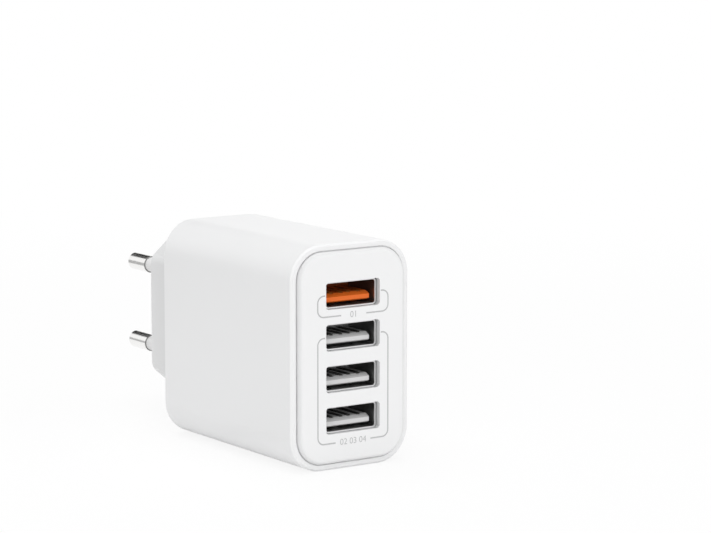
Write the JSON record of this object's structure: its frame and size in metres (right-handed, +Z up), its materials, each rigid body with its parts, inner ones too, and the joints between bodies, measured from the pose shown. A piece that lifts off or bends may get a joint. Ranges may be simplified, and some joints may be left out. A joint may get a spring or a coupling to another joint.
{
  "type": "multi-port usb charger",
  "caption": "White wall charger with a row of USB sockets on its front panel and a two-pin plug block on its back.",
  "frame": {"origin": "middle of the bounding box at the level of the bottom side that the charger stands on", "axes": "+Z up, -Y towards the front panel with the sockets, +Y along the plug pins to their tips"},
  "size_m": [0.0304, 0.0944, 0.049],
  "materials": {
    "housing_white": "satin white moulded plastic",
    "panel_white": "satin white moulded plastic",
    "sleeve_white": "white insulating sleeve",
    "pin_nickel": "bright nickel plate",
    "strip_brass": "bent brass strip",
    "socket_steel": "nickel-plated folded steel",
    "tongue_orange": "orange moulded plastic",
    "tongue_grey": "pale grey moulded plastic",
    "contact_nickel": "nickel-plated spring contacts",
    "board_green": "green solder mask",
    "ferrite": "dull dark grey sintered ferrite",
    "bobbin_black": "black moulded bobbin",
    "tape_yellow": "yellow insulating tape",
    "wire_copper": "enamelled copper wire",
    "can_aluminium": "drawn aluminium can",
    "disc_blue": "blue dipped coating",
    "chip_black": "black moulded package",
    "fuse_brown": "brown moulded cap"
  },
  "bodies": {
    "root": {"housing": "housing_white", "rear_cover": "housing_white", "front_panel": "panel_white", "pin_sleeve_upper": "sleeve_white", "pin_sleeve_lower": "sleeve_white", "pin_upper": "pin_nickel", "pin_lower": "pin_nickel", "pin_contact_upper": "strip_brass", "pin_contact_lower": "strip_brass", "usb_shell_1": "socket_steel", "usb_shell_2": "socket_steel", "usb_shell_3": "socket_steel", "usb_shell_4": "socket_steel", "usb_tongue_1": "tongue_orange", "usb_tongue_2": "tongue_grey", "usb_tongue_3": "tongue_grey", "usb_tongue_4": "tongue_grey", "usb_contacts_1": "contact_nickel", "usb_contacts_2": "contact_nickel", "usb_contacts_3": "contact_nickel", "usb_contacts_4": "contact_nickel", "port_board": "board_green", "main_board": "board_green", "transformer_core": "ferrite", "choke_core": "ferrite", "transformer_bobbin": "bobbin_black", "transformer_winding": "tape_yellow", "choke_winding": "wire_copper", "bulk_capacitor_1": "can_aluminium", "bulk_capacitor_2": "can_aluminium", "output_capacitor_1": "can_aluminium", "output_capacitor_2": "can_aluminium", "safety_capacitor": "disc_blue", "bridge_rectifier": "chip_black", "controller_chip": "chip_black", "rectifier_chip": "chip_black", "port_chip_upper": "chip_black", "port_chip_lower": "chip_black", "fuse": "fuse_brown"}
  },
  "joints": []
}
